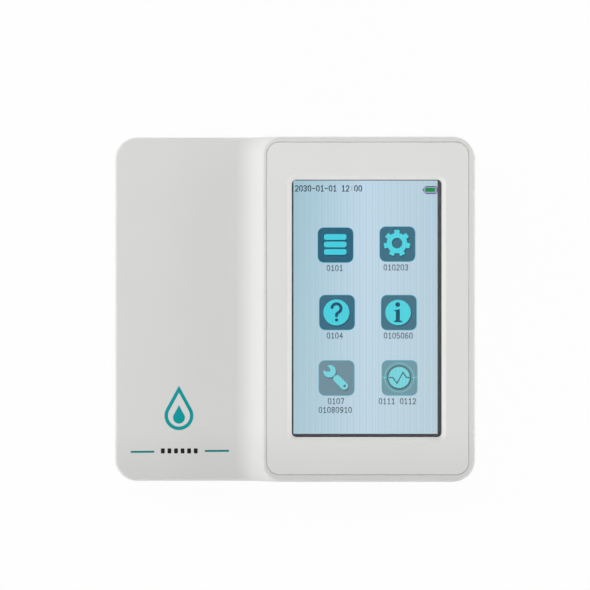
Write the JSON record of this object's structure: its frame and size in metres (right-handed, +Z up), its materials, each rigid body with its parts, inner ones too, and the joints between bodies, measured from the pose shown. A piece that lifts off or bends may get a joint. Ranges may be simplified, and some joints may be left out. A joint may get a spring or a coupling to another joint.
{
  "type": "urine strip analyzer",
  "caption": "Low bench analyzer with a raised touch screen, a smooth deck over a motor-driven strip tray, rear ports and a power button.",
  "frame": {"origin": "on the table, under the middle of the body", "axes": "+Z up, -Y the front where the tray comes out, +X the screen's side"},
  "size_m": [0.135, 0.129, 0.0455],
  "materials": {
    "case_plastic": "satin moulded off-white",
    "base_plastic": "satin moulded off-white",
    "bezel_plastic": "satin moulded off-white",
    "tray_plastic": "fine texture",
    "insert_plastic": "fine texture",
    "tile_white": "dead matt white",
    "button_grey": "satin",
    "black_plastic": "moulded, matt",
    "gear_plastic": "acetal, satin",
    "rubber_grey": "moulded, matt",
    "touch_glass": "polished",
    "lcd_glass": "lit display",
    "display_metal": "plated sheet",
    "screw_steel": "zinc plated",
    "bright_steel": "ground",
    "brass": "machined",
    "board_green": "solder mask",
    "chip_black": "moulded",
    "socket_ivory": "moulded",
    "ribbon_amber": "polyimide film",
    "lead_grey": "flat cable sheath",
    "battery_sleeve": "shrink sleeve",
    "gasket_black": "foam strip",
    "lens_glass": "polished",
    "led_clear": "clear resin",
    "shield_metal": "stamped can"
  },
  "bodies": {
    "root": {"upper_case": "case_plastic", "lower_case": "base_plastic", "screen_bezel": "bezel_plastic", "battery_door": "base_plastic", "rubber_feet": "rubber_grey", "case_screws": "screw_steel", "battery_door_screws": "screw_steel", "touch_panel": "touch_glass", "lcd_glass": "lcd_glass", "lcd_backlight": "display_metal", "screen_gasket": "gasket_black", "display_foam": "gasket_black", "display_bracket": "display_metal", "display_screws": "screw_steel", "display_ribbon": "ribbon_amber", "tray_guide": "black_plastic", "tray_guide_screws": "screw_steel", "gear_pin": "bright_steel", "gear_clip": "bright_steel", "stepper_motor": "display_metal", "motor_screws": "screw_steel", "motor_lead": "lead_grey", "home_sensor": "black_plastic", "sensor_lead": "lead_grey", "optics_bridge": "display_metal", "optics_bridge_screws": "screw_steel", "optical_head": "black_plastic", "optical_head_screws": "screw_steel", "focusing_lens": "lens_glass", "optics_board": "board_green", "optics_board_screws": "screw_steel", "light_sources": "led_clear", "photodiode": "chip_black", "optics_ribbon": "ribbon_amber", "main_board": "board_green", "main_board_screws": "screw_steel", "main_board_chips": "chip_black", "main_board_sockets": "socket_ivory", "wireless_module": "shield_metal", "buzzer": "black_plastic", "coin_cell": "bright_steel", "coin_cell_clip": "brass", "usb_c_port": "bright_steel", "usb_a_port": "bright_steel", "power_switch": "black_plastic", "battery_pack": "battery_sleeve", "battery_lead": "lead_grey"},
    "tray": {"strip_tray": "tray_plastic", "tray_front": "case_plastic", "strip_holder": "insert_plastic", "calibration_tile": "tile_white"},
    "gear": {"compound_gear": "gear_plastic"},
    "pinion": {"motor_pinion": "brass", "motor_shaft": "bright_steel"},
    "button": {"power_button": "button_grey", "switch_plunger": "black_plastic"}
  },
  "joints": [
    {"name": "tray_slide", "type": "slide", "parent": "root", "child": "tray", "axis": [0, -1, 0], "range_m": [0, 0.078]},
    {"name": "gear_turn", "type": "hinge", "parent": "root", "child": "gear", "pos_m": [-0.0142, -0.03, 0.0157], "axis": [0, 0, 1], "range_deg": [0, 622]},
    {"name": "motor_turn", "type": "hinge", "parent": "root", "child": "pinion", "pos_m": [0.0047, -0.03, 0.019], "axis": [0, 0, 1], "range_deg": [-1555, 0]},
    {"name": "power_press", "type": "slide", "parent": "root", "child": "button", "axis": [0, -1, 0], "range_m": [0, 0.0008], "stiffness_N_per_m": 1500, "springref_m": -0.0003}
  ],
  "couplings": [
    {"joint": "gear_turn", "follows": "tray_slide", "rad_per_m": 138.89},
    {"joint": "motor_turn", "follows": "tray_slide", "rad_per_m": -347.22}
  ]
}
